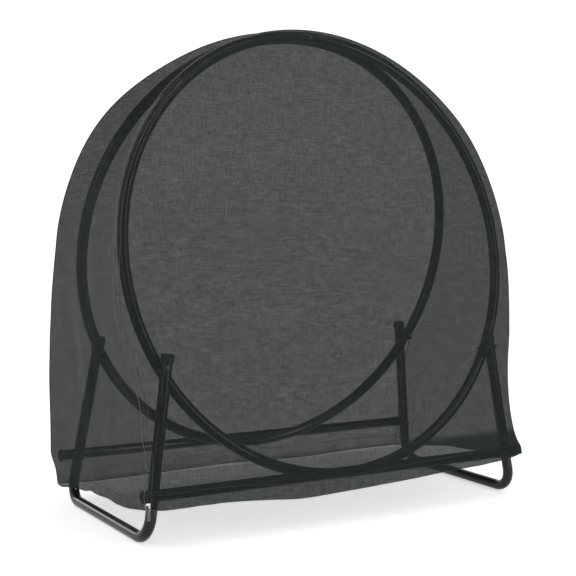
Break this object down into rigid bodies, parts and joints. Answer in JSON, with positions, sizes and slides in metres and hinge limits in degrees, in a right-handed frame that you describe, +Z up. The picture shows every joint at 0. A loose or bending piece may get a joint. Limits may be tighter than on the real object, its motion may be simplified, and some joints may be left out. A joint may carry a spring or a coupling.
{
  "type": "firewood_log_rack",
  "caption": "Round firewood rack: leaning steel tube hoops on a bolted base with low feet, under a see-through mesh cover with a zipper.",
  "frame": {"origin": "on the floor under the middle of the rack", "axes": "+X along the rails, to the right seen from the front; +Y from the front hoop to the rear hoop; +Z up"},
  "size_m": [1.088, 0.5213, 1.101],
  "materials": {
    "tube_paint": "satin black powder coat on steel tube",
    "end_caps": "matte black soft plastic",
    "fasteners": "black zinc-plated steel, slightly shiny",
    "cover_cloth": "see-through black woven polyester mesh",
    "cover_binding": "black polyester binding tape, sewn",
    "zipper_tape": "black coil zipper on woven tape",
    "zipper_metal": "bright nickel-plated die casting"
  },
  "bodies": {
    "rack": {"front_hoop_top": "tube_paint", "front_hoop_left": "tube_paint", "front_hoop_bottom": "tube_paint", "front_hoop_right": "tube_paint", "front_hoop_screws": "fasteners", "rear_hoop_top": "tube_paint", "rear_hoop_left": "tube_paint", "rear_hoop_bottom": "tube_paint", "rear_hoop_right": "tube_paint", "rear_hoop_screws": "fasteners", "left_leg": "tube_paint", "left_leg_caps": "end_caps", "right_leg": "tube_paint", "right_leg_caps": "end_caps", "front_rail": "tube_paint", "front_rail_plugs": "end_caps", "rear_rail": "tube_paint", "rear_rail_plugs": "end_caps", "leg_to_hoop_bolts": "fasteners", "leg_to_hoop_washers": "fasteners", "leg_to_hoop_nuts": "fasteners", "leg_to_rail_bolts": "fasteners", "leg_to_rail_washers": "fasteners", "leg_to_rail_nuts": "fasteners", "hoop_to_rail_bolts": "fasteners", "hoop_to_rail_washers": "fasteners", "hoop_to_rail_nuts": "fasteners", "hoop_top_bolt": "fasteners", "hoop_top_washer": "fasteners", "hoop_top_nut": "fasteners", "hoop_top_spacer": "fasteners"},
    "cover": {"cover_front_panel": "cover_cloth", "cover_rear_panel": "cover_cloth", "cover_gusset": "cover_cloth", "cover_front_welt": "cover_binding", "cover_rear_welt": "cover_binding", "cover_front_hem": "cover_cloth", "cover_rear_hem": "cover_cloth", "cover_left_hem": "cover_cloth", "cover_right_hem": "cover_cloth", "cover_zipper_tape": "zipper_tape"},
    "slider": {"zipper_slider": "zipper_metal"},
    "pull": {"zipper_pull": "zipper_metal"}
  },
  "joints": [
    {"name": "cover_lift", "type": "slide", "parent": "rack", "child": "cover", "axis": [0, 0, 1], "range_m": [0, 1.15]},
    {"name": "zipper_run", "type": "slide", "parent": "cover", "child": "slider", "axis": [0, 0.1701, 0.9854], "range_m": [0, 0.2]},
    {"name": "pull_swing", "type": "hinge", "parent": "slider", "child": "pull", "pos_m": [-0.5035, -0.25844, 0.09568], "axis": [1, 0, 0], "range_deg": [-160, 4]}
  ]
}
